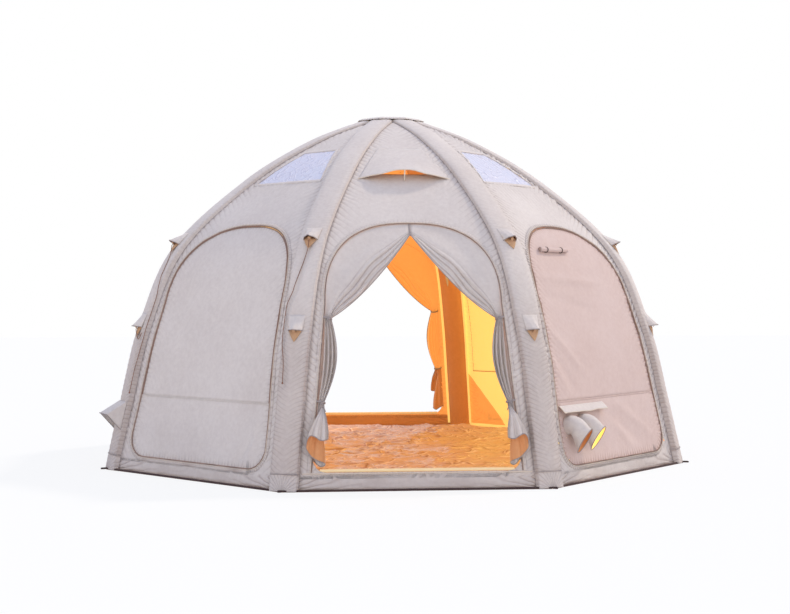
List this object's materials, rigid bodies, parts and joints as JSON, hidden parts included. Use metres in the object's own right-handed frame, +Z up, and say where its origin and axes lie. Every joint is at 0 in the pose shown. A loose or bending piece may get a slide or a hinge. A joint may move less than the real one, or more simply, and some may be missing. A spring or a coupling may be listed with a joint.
{
  "type": "inflatable tent",
  "caption": "Dome tent with air-filled beams in canvas sleeves, two curtained doorways, fold-out window panels, roof vents and clear roof windows.",
  "frame": {"origin": "on the ground under the crown, at the middle of the ground sheet's underside", "axes": "+Z up; the front door faces -Y; +X to the right seen from the front"},
  "size_m": [4.4392, 4.4284, 2.713],
  "materials": {
    "canvas": "woven coated canvas, matt",
    "lined_canvas": "woven canvas with a warm orange lining",
    "floor_fabric": "coated woven floor cloth, slight gloss",
    "beam_bladder": "smooth flexible film",
    "window_film": "clear flexible film",
    "moulded_plastic": "moulded black plastic",
    "braided_cord": "braided cord",
    "plated_wire": "plated wire and sheet",
    "webbing": "pale fabric-covered stick"
  },
  "bodies": {
    "root": {"air_beam_back_left": "beam_bladder", "air_beam_back_right": "beam_bladder", "air_beam_front_left": "beam_bladder", "air_beam_front_right": "beam_bladder", "air_beam_left_back": "beam_bladder", "air_beam_left_front": "beam_bladder", "air_beam_right_back": "beam_bladder", "air_beam_right_front": "beam_bladder", "beam_sleeve_back_left": "canvas", "beam_sleeve_back_right": "canvas", "beam_sleeve_front_left": "canvas", "beam_sleeve_front_right": "canvas", "beam_sleeve_left_back": "canvas", "beam_sleeve_left_front": "canvas", "beam_sleeve_right_back": "canvas", "beam_sleeve_right_front": "canvas", "crown_cover": "canvas", "crown_hub": "beam_bladder", "door_curtain_back_left": "lined_canvas", "door_curtain_back_right": "lined_canvas", "door_curtain_front_left": "lined_canvas", "door_curtain_front_right": "lined_canvas", "ground_sheet": "floor_fabric", "guy_cord_front_left": "braided_cord", "guy_cord_left_front": "braided_cord", "guy_cord_left_loop": "braided_cord", "lamp_hook": "plated_wire", "low_vent_hood": "canvas", "skylight_back_left": "window_film", "skylight_back_right": "window_film", "skylight_front_left": "window_film", "skylight_front_right": "window_film", "valve_body": "moulded_plastic", "vent_hood_back": "canvas", "vent_hood_front": "canvas", "wall_back": "canvas", "wall_back_left": "canvas", "wall_back_right": "canvas", "wall_front": "canvas", "wall_front_left": "canvas", "wall_front_right": "canvas", "wall_left": "canvas", "wall_right": "canvas"},
    "window_flap_front_right": {"window_flap_front_right": "canvas", "window_roll": "canvas"},
    "window_flap_right": {"window_flap_right": "canvas"},
    "window_flap_back_right": {"window_flap_back_right": "canvas"},
    "window_flap_back_left": {"window_flap_back_left": "canvas"},
    "window_flap_left": {"window_flap_left": "canvas"},
    "window_flap_front_left": {"window_flap_front_left": "canvas"},
    "vent_prop_front": {"vent_prop_front": "webbing"},
    "vent_prop_back": {"vent_prop_back": "webbing"},
    "port_flap": {"port_flap": "canvas"},
    "duct_sleeve_1": {"duct_sleeve_1": "canvas"},
    "duct_sleeve_2": {"duct_sleeve_2": "canvas"},
    "valve_cap": {"valve_cap": "moulded_plastic"}
  },
  "joints": [
    {"name": "window_flap_front_right_fold", "type": "hinge", "parent": "root", "child": "window_flap_front_right", "pos_m": [1.43947, -1.43947, 0.55], "axis": [0.7071, 0.7071, 0], "range_deg": [0, 100]},
    {"name": "window_flap_right_fold", "type": "hinge", "parent": "root", "child": "window_flap_right", "pos_m": [2.03571, 0, 0.55], "axis": [0, 1, 0], "range_deg": [0, 100]},
    {"name": "window_flap_back_right_fold", "type": "hinge", "parent": "root", "child": "window_flap_back_right", "pos_m": [1.43947, 1.43947, 0.55], "axis": [-0.7071, 0.7071, 0], "range_deg": [0, 100]},
    {"name": "window_flap_back_left_fold", "type": "hinge", "parent": "root", "child": "window_flap_back_left", "pos_m": [-1.43947, 1.43947, 0.55], "axis": [-0.7071, -0.7071, 0], "range_deg": [0, 100]},
    {"name": "window_flap_left_fold", "type": "hinge", "parent": "root", "child": "window_flap_left", "pos_m": [-2.03571, 0, 0.55], "axis": [0, -1, 0], "range_deg": [0, 100]},
    {"name": "window_flap_front_left_fold", "type": "hinge", "parent": "root", "child": "window_flap_front_left", "pos_m": [-1.43947, -1.43947, 0.55], "axis": [0.7071, -0.7071, 0], "range_deg": [0, 100]},
    {"name": "vent_prop_front_fold", "type": "hinge", "parent": "root", "child": "vent_prop_front", "pos_m": [0, -1.20051, 2.11179], "axis": [1, 0, 0], "range_deg": [0, 80]},
    {"name": "vent_prop_back_fold", "type": "hinge", "parent": "root", "child": "vent_prop_back", "pos_m": [0, 1.20051, 2.11179], "axis": [-1, 0, 0], "range_deg": [0, 80]},
    {"name": "port_flap_lift", "type": "hinge", "parent": "root", "child": "port_flap", "pos_m": [1.44375, -1.44375, 0.52519], "axis": [-0.7071, -0.7071, 0], "range_deg": [0, 30]},
    {"name": "duct_sleeve_1_swing", "type": "hinge", "parent": "root", "child": "duct_sleeve_1", "pos_m": [1.05421, -1.85324, 0.45508], "axis": [-0.7071, -0.7071, 0], "range_deg": [0, 20]},
    {"name": "duct_sleeve_2_swing", "type": "hinge", "parent": "root", "child": "duct_sleeve_2", "pos_m": [1.17796, -1.7295, 0.45508], "axis": [-0.7071, -0.7071, 0], "range_deg": [0, 20]},
    {"name": "valve_cap_hinge", "type": "hinge", "parent": "root", "child": "valve_cap", "pos_m": [-0.87478, 2.1119, 0.35388], "axis": [0.9239, 0.3827, 0], "range_deg": [0, 120]}
  ]
}
